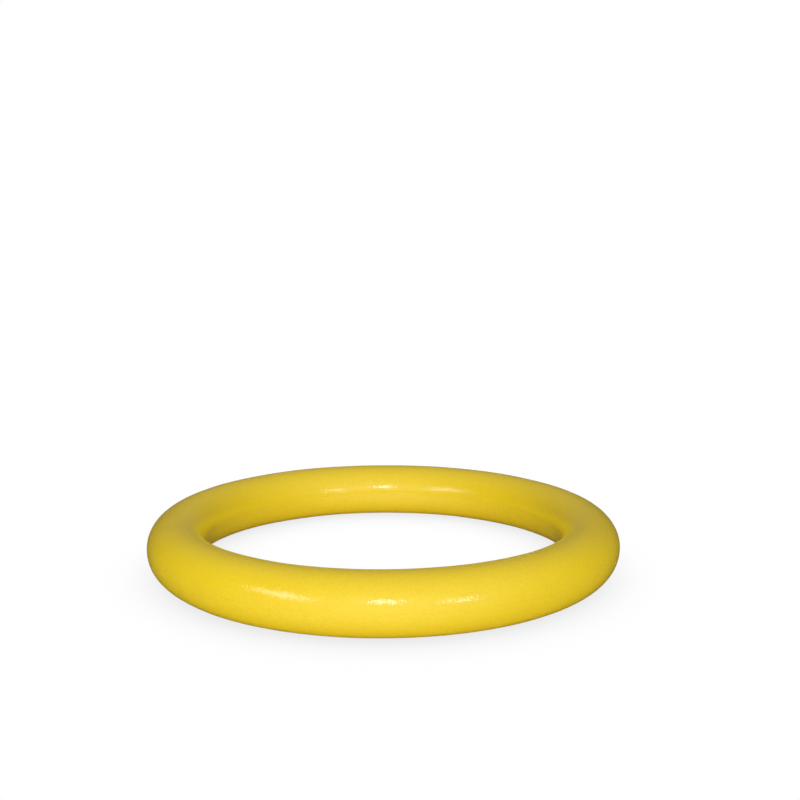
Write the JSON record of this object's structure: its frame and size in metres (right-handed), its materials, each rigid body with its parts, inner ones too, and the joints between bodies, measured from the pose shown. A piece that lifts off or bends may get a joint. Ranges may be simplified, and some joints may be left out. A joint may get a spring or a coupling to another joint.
{
  "type": "juggling ring",
  "caption": "Hollow moulded ring of round section with a fine pebbled skin, for juggling, tossing and hand exercise; its half shells are welded at the mid-plane.",
  "frame": {"origin": "on the ring's axis, at the surface that the ring lies on", "axes": "+Z along the ring's axis, upwards, with the ring lying flat; X and Y are alike, because the ring is round"},
  "size_m": [0.231, 0.231, 0.028],
  "materials": {
    "shell_plastic": "golden yellow, semi-gloss, with a fine moulded pebble grain",
    "weld_plastic": "the same yellow plastic, melted and smooth"
  },
  "bodies": {
    "root": {"upper_shell": "shell_plastic", "lower_shell": "shell_plastic", "outer_weld_bead": "weld_plastic", "inner_weld_bead": "weld_plastic"}
  },
  "joints": []
}
